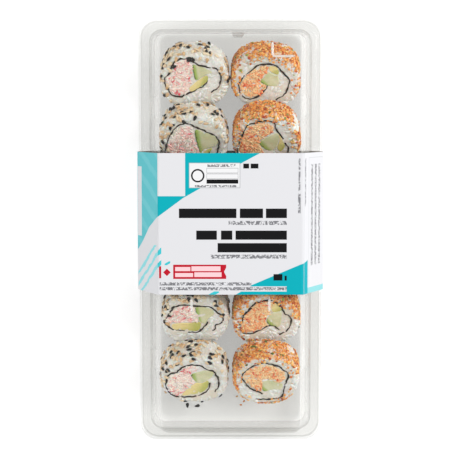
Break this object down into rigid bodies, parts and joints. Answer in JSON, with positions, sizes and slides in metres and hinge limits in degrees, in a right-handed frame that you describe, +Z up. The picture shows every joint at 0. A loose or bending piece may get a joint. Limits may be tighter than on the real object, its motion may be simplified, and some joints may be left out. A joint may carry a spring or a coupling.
{
  "type": "takeaway sushi tray",
  "caption": "Shut clear takeaway tray of sliced sushi rolls in two leaning rows, with a close-fitting clear lid and a printed card band round its middle.",
  "frame": {"origin": "on the table under the middle of the pack", "axes": "+Z up, pack long along Y, +Y towards the end wall that the slices lean on, +X to the crumbed row"},
  "size_m": [0.1066, 0.243, 0.043],
  "materials": {
    "clear_tray": "clear, glossy, thermoformed",
    "clear_lid": "clear, glossy, thermoformed",
    "printed_card": "white card printed with flat fields of teal, smooth satin",
    "seeded_roll": "moist cooked rice rolled in black and pale sesame seed",
    "crumbed_roll": "moist cooked rice rolled in orange crumb with green flecks",
    "rice": "moist, softly glossy cooked rice",
    "seaweed": "thin damp dried seaweed sheet, near black",
    "crab_mix": "moist shredded pink and white crab stick",
    "spiced_crab_mix": "moist shredded crab stick in orange sauce",
    "cucumber": "wet pale green flesh with a dark green skin",
    "avocado": "soft yellow-green flesh, greener at its edge",
    "sesame": "toasted seed, black and pale tan",
    "crumb": "dry fried crumb and roe, orange to gold"
  },
  "bodies": {
    "root": {"tray": "clear_tray", "lid": "clear_lid", "band": "printed_card", "seeded_slice_1": "seeded_roll", "seeded_slice_2": "seeded_roll", "seeded_slice_3": "seeded_roll", "seeded_slice_4": "seeded_roll", "seeded_slice_5": "seeded_roll", "seeded_slice_6": "seeded_roll", "crumbed_slice_1": "crumbed_roll", "crumbed_slice_2": "crumbed_roll", "crumbed_slice_3": "crumbed_roll", "crumbed_slice_4": "crumbed_roll", "crumbed_slice_5": "crumbed_roll", "crumbed_slice_6": "crumbed_roll"}
  },
  "joints": []
}
